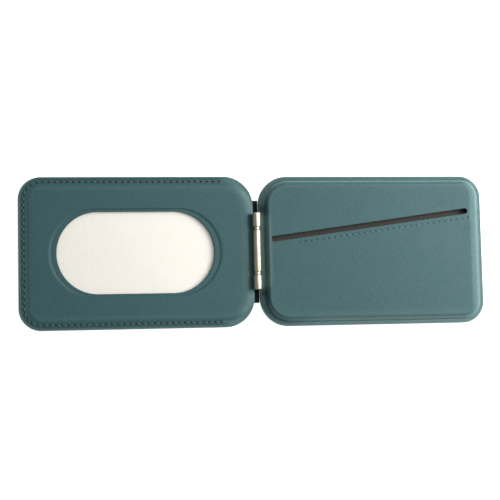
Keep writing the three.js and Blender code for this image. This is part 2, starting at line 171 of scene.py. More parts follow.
def quarter(begin, centre, radius, angle, end):
    """Even points from begin round a quarter turn about centre and on towards end."""
    turn = np.array([math.cos(angle), math.sin(angle)])
    arc_begin = centre + radius * turn
    arc_end = centre + radius * np.array([-turn[1], turn[0]])
    first = np.linalg.norm(arc_begin - begin)
    bend = radius * math.pi / 2
    last = np.linalg.norm(end - arc_end)
    along = np.arange(QUARTER) / QUARTER * (first + bend + last)
    angles = angle + np.clip(along - first, 0, bend) / radius
    points = centre + radius * np.stack([np.cos(angles), np.sin(angles)], 1)
    before = np.clip(first - along, 0, None)[:, None] / max(first, 1e-9)
    after = np.clip(along - first - bend, 0, None)[:, None] / max(last, 1e-9)
    return points + (begin - arc_begin) * before + (end - arc_end) * after


def rounded_outline(low, high, left_radius, right_radius, left_y=0.0, right_y=0.0):
    """Points round a rounded rectangle, anticlockwise from right_y on its right side."""
    middle = (low + high) / 2
    right, top = np.array([high[0], right_y]), np.array([middle[0], high[1]])
    left, bottom = np.array([low[0], left_y]), np.array([middle[0], low[1]])
    r, l = right_radius, left_radius
    return np.concatenate([
        quarter(right, high - r, r, 0, top),
        quarter(top, np.array([low[0] + l, high[1] - l]), l, math.pi / 2, left),
        quarter(left, low + l, l, math.pi, bottom),
        quarter(bottom, np.array([high[0] - r, low[1] + r]), r, 3 * math.pi / 2, right),
    ])


def stadium(centre, length, width, angle=0.0):
    """A stadium's outline, turned by an angle about its centre."""
    half = np.array([length, width]) / 2
    points = rounded_outline(-half, half, half[1], half[1])
    c, s = math.cos(angle), math.sin(angle)
    return points @ np.array([[c, s], [-s, c]]) + centre


def ring(points, z):
    """A ring of 3-D points from an outline and one height or a height for each point."""
    return np.column_stack([points, np.broadcast_to(z, len(points))])


def rise(fraction):
    """The share of the slope's height that is reached at a fraction of its width."""
    return (1 - math.cos(math.pi * fraction**SLOPE_SKEW)) / 2


class Panel:
    """A panel's outline, layer heights and slope widths."""

    def __init__(self, name, foot, slope, left_y=0.0, right_y=0.0):
        cover_low, cover_high = extent(name + "_back_cover")
        face_low, face_high = extent(name + "_face")
        self.name = name
        self.body = name + "_panel"
        self.low, self.high = cover_low[:2], cover_high[:2]
        self.centre = (self.low + self.high) / 2
        self.side = 1 if self.centre[0] > 0 else -1
        self.hinge_x = self.low[0] if self.side > 0 else self.high[0]
        self.foot, self.slope = foot, slope
        self.left_y, self.right_y = left_y, right_y
        self.back_top, self.face_z, self.top = cover_high[2], face_low[2], face_high[2]
        self.rim = RIM[name]
        self.ceiling = self.top - LEATHER

    def outline(self, inset):
        """The outline moved inwards by distances at the outer, hinge and long sides."""
        outer, hinge, side = inset
        left, right = (hinge, outer) if self.side > 0 else (outer, hinge)
        low = self.low + np.array([left, side])
        high = self.high - np.array([right, side])
        outer_radius = CORNER["outer"] - (outer + side) / 2
        hinge_radius = CORNER["hinge"] - (hinge + side) / 2
        radii = (hinge_radius, outer_radius) if self.side > 0 else (outer_radius, hinge_radius)
        return rounded_outline(low, high, *radii, self.left_y, self.right_y)

    def even_outline(self, distance):
        return self.outline(np.full(3, distance))

    def rim_height(self, points):
        """The rim's height, which drops towards the hinge side."""
        from_hinge = np.abs(points[:, 0] - self.hinge_x)
        return HINGE_RIM + (self.rim - HINGE_RIM) * smooth(from_hinge, *RIM_DROP)

    def edge_drop(self, points):
        """How far the rolled edge drops, which is further at the hinge."""
        near_hinge = 1 - smooth(np.abs(points[:, 0] - self.hinge_x), 1.5, 6)
        return EDGE_DROP + (HINGE_EDGE_DROP[self.name] - EDGE_DROP) * near_hinge

    def inset(self, points):
        """How far inside the outline each point is."""
        half = (self.high - self.low) / 2
        offset = points[..., :2] - self.centre
        outer = offset[..., 0] * self.side > 0
        radius = np.where(outer, CORNER["outer"], CORNER["hinge"])
        corner = np.abs(offset) - half + radius[..., None]
        outside = np.linalg.norm(np.clip(corner, 0, None), axis=-1)
        return radius - outside - np.clip(corner.max(-1), None, 0)


window_panel = Panel("window", WINDOW_FOOT, WINDOW_SLOPE)
slot_panel = Panel("slot", SLOT_FOOT, SLOT_SLOPE, SLOT_FROM[1], SLOT_TO[1])


# ---- Seams ------------------------------------------------------------------------------------


def border_seam():
    """Hole places round three sides of the window panel."""
    low, high = window_panel.low + SEAM_INSET, window_panel.high - SEAM_INSET
    radius = CORNER["outer"] - SEAM_INSET
    start = window_panel.hinge_x - SEAM_START
    straight = start - low[0] - radius
    bend = radius * math.pi / 2
    side = high[1] - low[1] - 2 * radius
    total = 2 * (straight + bend) + side
    count = round(total / PITCH)
    points = []
    for along in np.linspace(0, total, count + 1):
        mirrored = along > total / 2
        s = total - along if mirrored else along
        if s < straight:
            x, y = start - s, high[1]
        elif s < straight + bend:
            angle = math.pi / 2 + (s - straight) / radius
            x = low[0] + radius + radius * math.cos(angle)
            y = high[1] - radius + radius * math.sin(angle)
        else:
            x, y = low[0], high[1] - radius - (s - straight - bend)
        points.append((x, -y if mirrored else y))
    return np.array(points)


def slot_seam():
    """Hole places along the short seam under the card slot."""
    along = (SLOT_TO - SLOT_FROM) / np.linalg.norm(SLOT_TO - SLOT_FROM)
    down = np.array([along[1], -along[0]])
    first, last = SLOT_SEAM_TRIM
    begin = SLOT_FROM + along * first + down * SLOT_SEAM_BELOW
    end = SLOT_TO - along * last + down * SLOT_SEAM_BELOW
    count = round(np.linalg.norm(end - begin) / PITCH)
    share = np.linspace(0, 1, count + 1)[:, None]
    return begin + (end - begin) * share


def seam_distances(points, holes):
    """Each point's distances to the nearest hole and to the line through the holes."""
    flat = points[..., :2].reshape(-1, 2)
    to_hole = np.full(len(flat), np.inf)
    to_line = np.full(len(flat), np.inf)
    for begin, end in zip(holes[:-1], holes[1:]):
        step = end - begin
        share = np.clip((flat - begin) @ step / (step @ step), 0, 1)[:, None]
        to_line = np.minimum(to_line, np.linalg.norm(flat - begin - share * step, axis=1))
        to_hole = np.minimum(to_hole, np.linalg.norm(flat - begin, axis=1))
    to_hole = np.minimum(to_hole, np.linalg.norm(flat - holes[-1], axis=1))
    return to_hole.reshape(points.shape[:-1]), to_line.reshape(points.shape[:-1])


# ---- Mesh helpers -----------------------------------------------------------------------------


def make_piece(name, points, faces, panel, material, sharp=40):
    """An object from millimetre points, riding on its panel's body."""
    mesh = bpy.data.meshes.new(name)
    mesh.from_pydata((points * MM).tolist(), [], faces)
    shell = bmesh.new()
    shell.from_mesh(mesh)
    bmesh.ops.recalc_face_normals(shell, faces=shell.faces)
    shell.to_mesh(mesh)
    shell.free()
    mesh.shade_smooth()
    mesh.set_sharp_from_angle(angle=math.radians(sharp))
    mesh.materials.append(material)
    piece = bpy.data.objects.new(name, mesh)
    bpy.context.scene.collection.objects.link(piece)
    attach(piece, panel.body)
    return piece


def ring_faces(rows, count, wraps):
    """Quads over a stack of rings, joined end to end where it wraps."""
    grid = np.arange(rows * count).reshape(rows, count)
    lower = grid if wraps else grid[:-1]
    upper = np.roll(grid, -1, 0) if wraps else grid[1:]
    quads = np.stack([lower, np.roll(lower, -1, 1), np.roll(upper, -1, 1), upper], -1)
    return quads.reshape(-1, 4).tolist()


def capped_faces(rows, count):
    """Quads over a stack of rings, with a face over the first and the last ring."""
    first = list(range(count))
    last = list(range((rows - 1) * count, rows * count))
    return ring_faces(rows, count, wraps=False) + [first[::-1], last]


def set_attribute(piece, name, values):
    attribute = piece.data.attributes.new(name, "FLOAT", "POINT")
    attribute.data.foreach_set("value", values.astype(np.float32).ravel())


# ---- Leather faces ----------------------------------------------------------------------------


def outer_rows(panel):
    """Rings from the plateau's edge down the slope, over the rim and the edge, to the bottom."""
    roll = EDGE_ROLL[panel.name]
    rows = []
    for fraction in np.linspace(1, 0, 26):
        outline = panel.outline(panel.foot + panel.slope * fraction)
        rim = panel.rim_height(outline)
        rows.append(ring(outline, rim + (panel.top - rim) * rise(fraction)))
    for fraction in np.linspace(1, 0, 18)[1:]:
        outline = panel.outline(roll + (panel.foot - roll) * fraction)
        rows.append(ring(outline, panel.rim_height(outline)))
    for turn in np.linspace(0, math.pi / 2, 8)[1:]:
        outline = panel.outline(roll * (1 - math.sin(turn)))
        drop = panel.edge_drop(outline) * (1 - math.cos(turn))
        rows.append(ring(outline, panel.rim_height(outline) - drop))
    rows.append(ring(panel.even_outline(0), panel.face_z))
    return rows


def inner_rows(panel):
    """Rings up the inside of the moulded slope."""
    rows = []
    for fraction in np.linspace(0, 1, 8):
        height = panel.face_z + (panel.ceiling - panel.face_z) * rise(fraction)
        inset = panel.foot + panel.slope * fraction + LEATHER
        rows.append(ring(panel.outline(inset), height))
    return rows


def morph_rows(begin, end, fractions):
    return [begin + (end - begin) * fraction for fraction in fractions]


def wall_rows(outline_at, bottom, top, lip):
    """Rings up a hole's wall and over its rounded lip."""
    rows = [ring(outline_at(0), bottom), ring(outline_at(0), top - lip)]
    for turn in np.linspace(0, math.pi / 2, 6)[1:]:
        height = top - lip * (1 - math.sin(turn))
        rows.append(ring(outline_at(lip * (1 - math.cos(turn))), height))
    return rows


def window_rows(panel):
    """Rings from the window's wall over its lip, across the ledge and up the soft step."""
    film_low, film_high = extent("window_film")
    centre = ((film_low + film_high) / 2)[:2]
    length, width = (film_high - film_low)[:2] - 2 * FILM_MARGIN

    def window_outline(margin):
        across = np.broadcast_to(margin, 2)
        return stadium(centre, length + 2 * across[0], width + 2 * across[1])

    rows = wall_rows(window_outline, panel.ceiling, panel.top - LEDGE_DEPTH, WINDOW_LIP)
    for share in np.linspace(0, LEDGE_STEP[1], 18)[1:]:
        margin = WINDOW_LIP + (LEDGE - WINDOW_LIP) * share
        height = panel.top - LEDGE_DEPTH * (1 - smooth(share, *LEDGE_STEP))
        rows.append(ring(window_outline(margin), height))
    return rows


def slot_rows(panel):
    """Rings from the slot's wall over its rolled lip."""
    along = SLOT_TO - SLOT_FROM
    length = np.linalg.norm(along)
    centre = (SLOT_FROM + SLOT_TO) / 2
    angle = math.atan2(along[1], along[0])

    def slot_outline(margin):
        return stadium(centre, length + 2 * margin, SLOT_WIDTH + 2 * margin, angle)

    return wall_rows(slot_outline, panel.ceiling, panel.top, SLOT_LIP)


def undulation(points):
    """The slight unevenness of leather over a board, in waves about 30 to 60 mm long."""
    x, y = points[..., 0], points[..., 1]
    waves = np.sin(x / 9.1 + 0.6 * np.sin(y / 7.3)) * np.sin(y / 8.3 + 1.1)
    return UNDULATION * (waves + 0.5 * np.sin(x / 4.7 - y / 6.1))


def bead(panel, points):
    """How much of the slot panel's thin raised line there is at each point."""
    if panel.side < 0:
        return np.zeros(points.shape[:-1])
    along_top = smooth(points[..., 1], 17, 23)
    from_hinge = smooth(points[..., 0] - panel.hinge_x, 8, 24)
    strength = np.maximum(along_top, BEAD_FAINT * from_hinge)
    return bell(panel.inset(points) - BEAD_INSET, BEAD_WIDTH) * strength


def press(panel, points, holes, hole_size, hole_depth):
    """Presses seams, holes and the edge crease into the top, and returns each point's pressed
    depth, which also paints shade there.
    """
    top_side = points[..., 2] > HINGE_RIM - 0.25
    to_hole, to_line = seam_distances(points, holes)
    groove = SEAM_GROOVE_SHARE * bell(to_line, SEAM_GROOVE)
    depth = hole_depth * (groove + bell(to_hole, hole_size))
    from_hinge = np.abs(points[..., 0] - panel.hinge_x)
    if panel.side < 0:
        crease = bell(panel.inset(points) - CREASE_INSET, CREASE_WIDTH)
        depth = depth + CREASE_DEPTH * crease * smooth(from_hinge, *CREASE_ENDS)
    else:
        hollow = bell(np.abs(points[..., 1]) - STRIP_END_Y, STRIP_END_LENGTH)
        depth = depth + STRIP_END_DEPTH * hollow * (1 - smooth(from_hinge, *STRIP_END_REACH))
    depth = np.where(top_side, depth, 0)
    level = smooth(panel.inset(points), 4, 9)
    raised = undulation(points) * level + BEAD_HEIGHT * bead(panel, points)
    points[..., 2] += np.where(top_side, raised, 0) - depth
    return depth


def leather_face(panel, hole_rows, morph_fractions, holes, hole_size, hole_depth, material):
    """A moulded leather face as one closed shell round its hole."""
    outer = outer_rows(panel)
    morph = morph_rows(hole_rows[-1], outer[0], morph_fractions)
    under = inner_rows(panel)
    ceiling = morph_rows(under[-1], hole_rows[0], (0.35, 0.7))
    rows = np.array(hole_rows + morph + outer + under + ceiling)
    wear_and_highlight = wear_and_highlight_of(panel, rows)
    depth = press(panel, rows, holes, hole_size, hole_depth)
    count = rows.shape[1]
    faces = ring_faces(len(rows), count, wraps=True)
    piece = make_piece(panel.name + "_leather", rows.reshape(-1, 3), faces, panel, material)
    # The crease attribute paints shade into holes, grooves and hollows.
    set_attribute(piece, "crease", np.clip(depth / 0.3, 0, 1))
    # This attribute paints rubbed wear and painted highlight.
    set_attribute(piece, "wear_and_highlight", wear_and_highlight)
    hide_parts(panel.name + "_face")
    return piece


def wear_and_highlight_of(panel, rows):
    """How pale the leather is: rubbed wear at the edges and the crown of the slope, painted
    highlight on the bead, the slot panel's rim and flange and the window panel's hinge corners.
    """
    inset = panel.inset(rows)
    edge = bell(inset, 0.5)
    crown = bell(inset - (panel.foot + panel.slope)[2], 0.8)
    from_hinge = np.abs(rows[..., 0] - panel.hinge_x)
    if panel.side > 0:
        # Painted highlight with some rubbed wear on the slot panel's rim at its outer side, which
        # faces the key light, and at its lower side.
        outer = OUTER_WEAR_AND_SHEEN * smooth(from_hinge, 92, 97)
        lower = LOWER_WEAR_AND_SHEEN * smooth(-rows[..., 1], 26, 30) * smooth(from_hinge, 8, 30)
        # Painted light: the slot panel's rim beside the barrel is lightened in place of fill
        # light.
        beside_barrel = 1 - smooth(np.abs(rows[..., 1]), 14, 17)
        flange_light = FLANGE_PAINTED_LIGHT * (1 - smooth(from_hinge, 3.6, 6)) * beside_barrel
        rim = bell(inset - 2.0, 1.4) * np.maximum(outer, lower) + flange_light
    else:
        # Painted highlight on the window panel's slopes at its hinge corners, which face the key
        # light.
        corner = smooth(np.abs(rows[..., 1]), 18, 26) * (1 - smooth(from_hinge, 2, 14))
        rim = CORNER_HIGHLIGHT * bell(inset - 2.5, 2.0) * corner
    # The bead term paints a highlight along the slot panel's raised line.
    return np.clip(EDGE_WEAR * edge + CROWN_WEAR * crown + bead(panel, rows) + rim, 0, 1)


def window_leather(material):
    fractions = np.linspace(0, 1, 16)[1:-1]
    rows = window_rows(window_panel)
    return leather_face(window_panel, rows, fractions, border_seam(), HOLE, HOLE_DEPTH,
                        material)


def slot_leather(material):
    near = np.arange(1, 15) * 0.0075
    far = 0.105 + 0.895 * np.linspace(0, 1, 16)[1:-1] ** 1.4
    fractions = np.concatenate([near, far])
    rows = slot_rows(slot_panel)
    return leather_face(slot_panel, rows, fractions, slot_seam(), SLOT_HOLE,
                        SLOT_HOLE_DEPTH, material)


# ---- Back leather and painted edges -----------------------------------------------------------


def middle_rows(panel, z, fractions):
    """Rings between the panel's middle line, at 0, and a ring inside its corners, at 1."""
    outer = panel.even_outline(BACK_MARGIN)
    half = (panel.high - panel.low) / 2
    reach = half[0] - half[1]
    spine_x = np.clip(outer[:, 0], panel.centre[0] - reach, panel.centre[0] + reach)
    spine = np.column_stack([spine_x, np.full(len(outer), panel.centre[1])])
    return [ring(outline, z) for outline in morph_rows(spine, outer, fractions)]


def back_leather(panel, material, seam=None):
    """The back cover: a rounded plate of leather with the seam's holes pressed into it."""
    rows = middle_rows(panel, 0, (0.02, 0.3, 0.6, 0.85, 1))
    for inset in np.linspace(BACK_MARGIN, BACK_ROLL, 26)[1:]:
        rows.append(ring(panel.even_outline(inset), 0))
    for turn in np.linspace(0, math.pi / 2, 5)[1:]:
        height = BACK_ROLL * (1 - math.cos(turn))
        rows.append(ring(panel.even_outline(BACK_ROLL * (1 - math.sin(turn))), height))
    rows.append(ring(panel.even_outline(0), panel.back_top))
    rows += middle_rows(panel, panel.back_top, (1, 0.5, 0.02))
    rows = np.array(rows)
    depth = np.zeros(rows.shape[:-1])
    if seam is not None:
        to_hole, to_line = seam_distances(rows, seam)
        pressed = BACK_GROOVE_DEPTH * bell(to_line, BACK_GROOVE)
        pressed += BACK_HOLE_DEPTH * bell(to_hole, HOLE)
        depth = np.where(rows[..., 2] < 0.1, pressed, 0)
        rows[..., 2] += depth
    faces = capped_faces(len(rows), rows.shape[1])
    piece = make_piece(panel.name + "_back_leather", rows.reshape(-1, 3), faces, panel, material)
    # The crease attribute paints shade into the seam's holes and groove.
    set_attribute(piece, "crease", np.clip(depth / 0.4, 0, 1))
    set_attribute(piece, "wear_and_highlight", bell(panel.inset(rows), 0.6))
    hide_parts(panel.name + "_back_cover")
    return piece


def painted_edge(panel, material):
    """The burnished edge of the three glued layers, with a faint line at each glue line."""
    low = EDGE_PAINT_LOW
    rows = []
    outline = panel.even_outline(0)
    top = panel.rim_height(outline) - panel.edge_drop(outline) + 0.02
    for share in np.linspace(0, 1, 26):
        height = low + (top - low) * share
        z = low + (HINGE_RIM - EDGE_DROP - low) * share
        ends = 1 - smooth(share, 0, 0.09) + smooth(share, 0.91, 1)
        lines = bell(z - panel.back_top - GLUE_LINE, GLUE_LINE_WIDTH)
        lines += bell(z - panel.face_z + GLUE_LINE, GLUE_LINE_WIDTH)
        inset = -EDGE_PAINT_PROUD + 0.1 * ends + GLUE_LINE * lines
        rows.append(ring(panel.even_outline(inset), height))
    inner = panel.even_outline(0.5)
    rows.append(ring(inner, panel.rim_height(inner) - panel.edge_drop(inner) + 0.02))
    rows.append(ring(inner, low))
    rows = np.array(rows)
    faces = ring_faces(len(rows), rows.shape[1], wraps=True)
    return make_piece(panel.name + "_painted_edge", rows.reshape(-1, 3), faces, panel, material)


# ---- Stitches ---------------------------------------------------------------------------------


def stitch_shape(length, diameter, sides=8, rows=11):
    """One two-ply stitch along +X: a twisted, arched thread that dips into its holes."""
    points = []
    for share in np.linspace(0, 1, rows):
        reach = 2 * share - 1
        radius = diameter / 2 * math.sqrt(max(1 - reach**6, 0.05))
        for i in range(sides):
            angle = 2 * math.pi * i / sides
            lobe = 1 + 0.16 * math.cos(2 * (angle - 2.6 * math.pi * share))
            y = radius * lobe * math.cos(angle)
            z = radius * lobe * math.sin(angle) - 0.16 * reach**4
            points.append((length * reach / 2, y, z))
    return np.array(points), capped_faces(rows, sides)


def stitch_run(holes, z, slant, flip=1, diameter=THREAD):
    """Points and faces of a row of stitches between holes; flip -1 hangs them under a surface."""
    points, faces = [], []
    for begin, end in zip(holes[:-1], holes[1:]):
        step = end - begin
        shape, shape_faces = stitch_shape(np.linalg.norm(step) - STITCH_GAP, diameter)
        angle = math.atan2(step[1], step[0]) + slant * flip
        c, s = math.cos(angle), math.sin(angle)
        turned = shape[:, :2] @ np.array([[c, s], [-s, c]]) + (begin + end) / 2
        start = sum(len(p) for p in points)
        points.append(np.column_stack([turned, z + flip * shape[:, 2]]))
        faces += [[start + i for i in face] for face in shape_faces]
    return np.concatenate(points), faces


def join_runs(*runs):
    """One set of points and faces from several."""
    points, faces, start = [], [], 0
    for run_points, run_faces in runs:
        points.append(run_points)
        faces += [[start + i for i in face] for face in run_faces]
        start += len(run_points)
    return np.concatenate(points), faces


def back_tacks(seam, z):
    """The last stitch at each end of a seam, sewn over once more."""
    first, last = seam[:2], seam[-2:]
    return [stitch_run(first, z, 0.1), stitch_run(last, z, -0.1)]


def stitches(panel, runs, node, material):
    """One piece from rows of stitches, standing for the CAD thread."""
    points, faces = join_runs(*runs)
    piece = make_piece(panel.name + "_stitches", points, faces, panel, material, 60)
    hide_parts(node)
    return piece


def border_stitches(material):
    seam = border_seam()
    top = window_panel.rim + 0.05
    runs = [stitch_run(seam, top, 0.06), stitch_run(seam, 0.27, 0.06, -1)]
    runs += back_tacks(seam, top + 0.12)
    return stitches(window_panel, runs, "window_thread", material)


def slot_stitches(material):
    seam = slot_seam()
    runs = [stitch_run(seam, slot_panel.top - 0.06, 0.04, 1, SLOT_THREAD)]
    return stitches(slot_panel, runs, "slot_thread", material)


# ---- Hinge ------------------------------------------------------------------------------------

HINGE = frame["joints"][0]["pos_m"]
AXIS_Z = HINGE[2] / MM
ROUND = 72


def turned_along_y(profile, wraps=True):
    """Rings about the hinge axis from (radius, y) pairs."""
    angles = np.arange(ROUND) * 2 * math.pi / ROUND
    rows = []
    for radius, y in profile:
        x = radius * np.cos(angles)
        z = AXIS_Z + radius * np.sin(angles)
        rows.append(np.column_stack([x, np.full(ROUND, y), z]))
    faces = ring_faces(len(rows), ROUND, True) if wraps else capped_faces(len(rows), ROUND)
    return np.concatenate(rows), faces


def rolled_edge(radius, y, bevel, direction, steps=5):
    """(radius, y) pairs round the edge of a turned piece whose end is at y."""
    pairs = []
    for turn in np.linspace(0, math.pi / 2, steps):
        pairs.append((radius - bevel * (1 - math.sin(turn)),
                      y - direction * bevel * (1 - math.cos(turn))))
    return pairs


def knuckle(radius, begin, end):
    """A tube round the pin with rolled outer edges."""
    outside = rolled_edge(radius, begin, KNUCKLE_BEVEL, -1)
    outside += rolled_edge(radius, end, KNUCKLE_BEVEL, 1)[::-1]
    inner = [(BORE, end), (BORE, begin)]
    return turned_along_y(outside + inner)


def rounded_plate(low, high, bevel):
    """A box with rounded edges, as points and faces."""
    shape = bmesh.new()
    bmesh.ops.create_cube(shape, size=1)
    size, middle = np.array(high) - low, (np.array(high) + low) / 2
    for vertex in shape.verts:
        vertex.co = Vector(np.array(vertex.co) * size + middle)
    bmesh.ops.bevel(shape, geom=shape.edges[:], offset=bevel, segments=3, profile=0.5,
                    affect="EDGES")
    shape.verts.index_update()
    points = np.array([vertex.co for vertex in shape.verts])
    faces = [[vertex.index for vertex in face.verts] for face in shape.faces]
    shape.free()
    return points, faces


def hinge_leaf(panel, material):
    """A leaf: its plate in the panel, and a web and a knuckle for each of its spans."""
    low, high = extent(panel.name + "_hinge_leaf")
    thickness, web = LEAF_THICKNESS, LEAF_WEB
    span = (low[1], high[1])
    if panel.side > 0:
        spans = [(span[0], span[0] + OUTER_KNUCKLE), (span[1] - OUTER_KNUCKLE, span[1])]
        plate = ([web, low[1], low[2]], [high[0], high[1], low[2] + thickness])
        web_x = (web, web + thickness)
    else:
        spans = [span]
        plate = ([low[0], low[1], low[2]], [-web, high[1], low[2] + thickness])
        web_x = (-web - thickness, -web)
    runs = [rounded_plate(*plate, LEAF_BEVEL)]
    radius = OUTER_RADIUS if panel.side > 0 else MIDDLE_RADIUS
    web_top = AXIS_Z - MIDDLE_RADIUS + thickness
    for begin, end in spans:
        web_low, web_high = [web_x[0], begin, low[2]], [web_x[1], end, web_top]
        runs.append(rounded_plate(web_low, web_high, LEAF_BEVEL))
        runs.append(knuckle(radius, begin, end))
    points, faces = join_runs(*runs)
    piece = make_piece(panel.name + "_leaf", points, faces, panel, material, 35)
    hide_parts(panel.name + "_hinge_leaf")
    return piece


def hinge_pin(material):
    """The pin, with a shallow dome on each end."""
    low, high = extent("hinge_pin")
    profile = [(0.02, low[1]), (PIN_RADIUS * 0.6, low[1] + 0.03)]
    profile += rolled_edge(PIN_RADIUS, low[1], 0.15, -1)
    profile += rolled_edge(PIN_RADIUS, high[1], 0.15, 1)[::-1]
    profile += [(PIN_RADIUS * 0.6, high[1] - 0.03), (0.02, high[1])]
    points, faces = turned_along_y(profile, wraps=False)
    piece = make_piece("pin", points, faces, slot_panel, material, 35)
    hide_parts("hinge_pin")
    return piece


def hinge_washer(end_name, material):
    """A washer in the neck between two knuckles, with rolled edges."""
    node = "hinge_washer_" + end_name
    low, high = extent(node)
    profile = rolled_edge(WASHER_RADIUS, low[1], 0.2, -1)
    profile += rolled_edge(WASHER_RADIUS, high[1], 0.2, 1)[::-1]
    profile += [(BORE, high[1]), (BORE, low[1])]
    points, faces = turned_along_y(profile)
    piece = make_piece("washer_" + end_name, points, faces, slot_panel, material,
                       35)
    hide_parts(node)
    return piece


def spine_ribbon(material):
    """The ribbed strip behind the barrel."""
    low, high = extent("spine_strip")
    middle = (low[2] + high[2]) / 2
    half = (high[2] - low[2]) / 2
    rows = []
    for y in np.linspace(low[1], high[1], RIBBON_ROWS):
        rib = RIB_DEPTH * (0.5 - 0.5 * math.cos(2 * math.pi * y / RIB_PITCH))
        end = half * math.sqrt(max(0.02, 1 - max(0, abs(y) - (high[1] - half)) ** 2 / half**2))
        thick = end - rib
        shoulder = high[0] - RIBBON_EDGE
        section = [(low[0], -thick), (shoulder, -thick), (high[0], -thick * 0.4),
                   (high[0], thick * 0.4), (shoulder, thick), (low[0], thick)]
        rows += [(x, y, middle + z) for x, z in section]
    faces = capped_faces(RIBBON_ROWS, 6)
    piece = make_piece("spine_ribbon", np.array(rows), faces, window_panel, material,
                       30)
    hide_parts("spine_strip")
    return piece


# ---- Materials --------------------------------------------------------------------------------


def colour(red, green, blue):
    """A linear colour from sRGB values of 0 to 255."""
    def linear(value):
        value /= 255
        return value / 12.92 if value <= 0.04045 else ((value + 0.055) / 1.055) ** 2.4
    return (linear(red), linear(green), linear(blue), 1.0)


class Look:
    """A material and short ways to add nodes to it. Texture sizes are in millimetres."""

    def __init__(self, name, base, roughness, **settings):
        self.material = bpy.data.materials.new(name)
        self.material.use_nodes = True
        self.tree = self.material.node_tree
        self.shader = self.tree.nodes["Principled BSDF"]
        self.shader.inputs["Base Color"].default_value = base
        self.shader.inputs["Roughness"].default_value = roughness
        for setting, value in settings.items():
            self.shader.inputs[setting.replace("_", " ")].default_value = value
        self.place = self.node("ShaderNodeTexCoord").outputs["Object"]

    def node(self, kind, inputs=None, **settings):
        node = self.tree.nodes.new(kind)
        for setting, value in settings.items():
            setattr(node, setting, value)
        for socket, value in (inputs or {}).items():
            self.feed(value, node.inputs[socket])
        return node

    def feed(self, value, socket):
        if isinstance(value, bpy.types.NodeSocket):
            self.tree.links.new(value, socket)
        else:
            socket.default_value = value

    def stretched(self, x, y, z):
        """Object coordinates scaled along each axis."""
        mapping = self.node("ShaderNodeMapping", {"Vector": self.place, "Scale": (x, y, z)})
        return mapping.outputs["Vector"]

    def noise(self, size, detail=3.0, place=None):
        inputs = {"Vector": place or self.place, "Scale": 1 / (size * MM), "Detail": detail}
        return self.node("ShaderNodeTexNoise", inputs).outputs["Fac"]

    def cells(self, size, place=None):
        inputs = {"Vector": place or self.place, "Scale": 1 / (size * MM)}
        return self.node("ShaderNodeTexVoronoi", inputs).outputs["Distance"]

    def attribute(self, name):
        return self.node("ShaderNodeAttribute", attribute_name=name).outputs["Fac"]

    def math(self, operation, first, second):
        return self.node("ShaderNodeMath", {0: first, 1: second}, operation=operation).outputs[0]

    def spread(self, value, low, high, from_low=0.0, from_high=1.0):
        """A value mapped from one range to another."""
        inputs = {"Value": value, "From Min": from_low, "From Max": from_high,
                  "To Min": low, "To Max": high}
        return self.node("ShaderNodeMapRange", inputs).outputs["Result"]

    def mix(self, share, first, second):
        """A colour between two; the mix node's sockets 6, 7 and 2 are its colour ones."""
        node = self.node("ShaderNodeMix", {0: share, 6: first, 7: second}, data_type="RGBA")
        return node.outputs[2]

    def base(self, value):
        self.feed(value, self.shader.inputs["Base Color"])

    def rough(self, value):
        self.feed(value, self.shader.inputs["Roughness"])

    def bump(self, height, depth, strength=1.0):
        """Bump of a given depth in millimetres; a second call adds to the first."""
        inputs = {"Height": height, "Distance": depth * MM, "Strength": strength}
        before = self.shader.inputs["Normal"].links
        if before:
            inputs["Normal"] = before[0].from_socket
        self.feed(self.node("ShaderNodeBump", inputs).outputs["Normal"],
                  self.shader.inputs["Normal"])


def leather_look(name, base, shade_tone, worn_and_lit, roughness):
    """Satin leather: fine pebbled grain, cloudy dye, painted shade in pressed places, and paler
    edges that are partly rubbed wear and partly painted highlight.
    """
    look = Look(name, base, roughness, Specular_IOR_Level=0.3)
    clouds = look.spread(look.noise(14), 0.0, 0.5, 0.35, 0.65)
    tone = look.mix(clouds, base, tuple(c * 0.9 for c in base[:3]) + (1.0,))
    pores = look.cells(0.55)
    grain = look.spread(pores, 0.0, 0.12, 0.0, 0.6)
    tone = look.mix(grain, tone, worn_and_lit)
    # Painted shade: pressed places darken towards the shade tone.
    tone = look.mix(look.attribute("crease"), tone, shade_tone)
    # Paler patches: rubbed wear together with painted highlight.
    patchy = look.math("MULTIPLY", look.attribute("wear_and_highlight"), look.spread(look.noise(3.0), 0.45, 1.0))
    tone = look.mix(patchy, tone, worn_and_lit)
    look.base(tone)
    look.rough(look.spread(look.noise(6.0), roughness - 0.05, roughness + 0.06, 0.3, 0.7))
    look.bump(pores, 0.035)
    look.bump(look.noise(1.6, 5.0), 0.05)
    return look.material


def thread_look(name, dark, light):
    """Waxed polyester thread with a fine twist."""
    look = Look(name, light, 0.5, Sheen_Weight=0.2)
    fibres = look.noise(0.25, 4.0)
    look.base(look.mix(fibres, dark, light))
    look.bump(fibres, 0.03)
    return look.material


def edge_look():
    """Painted and burnished leather edge."""
    look = Look("edge_paint", colour(48, 62, 60), 0.42)
    streaks = look.noise(0.8, 4.0, look.stretched(0.3, 0.3, 3.0))
    look.base(look.mix(streaks, colour(34, 48, 48), colour(66, 80, 76)))
    look.bump(streaks, 0.03)
    return look.material


def inlay_look():
    """Cream card with a faint fibre."""
    look = Look("cream_inlay", colour(244, 239, 228), 0.6)
    fibre = look.noise(1.2, 6.0, look.stretched(1.0, 0.35, 1.0))
    look.base(look.mix(fibre, colour(246, 242, 233), colour(238, 232, 219)))
    look.bump(fibre, 0.01)
    return look.material


def film_look():
    """Clear film, very slightly uneven."""
    look = Look("clear_film", (0.95, 0.96, 0.96, 1.0), 0.06, Alpha=0.12)
    look.bump(look.noise(9.0, 2.0), 0.01)
    return look.material


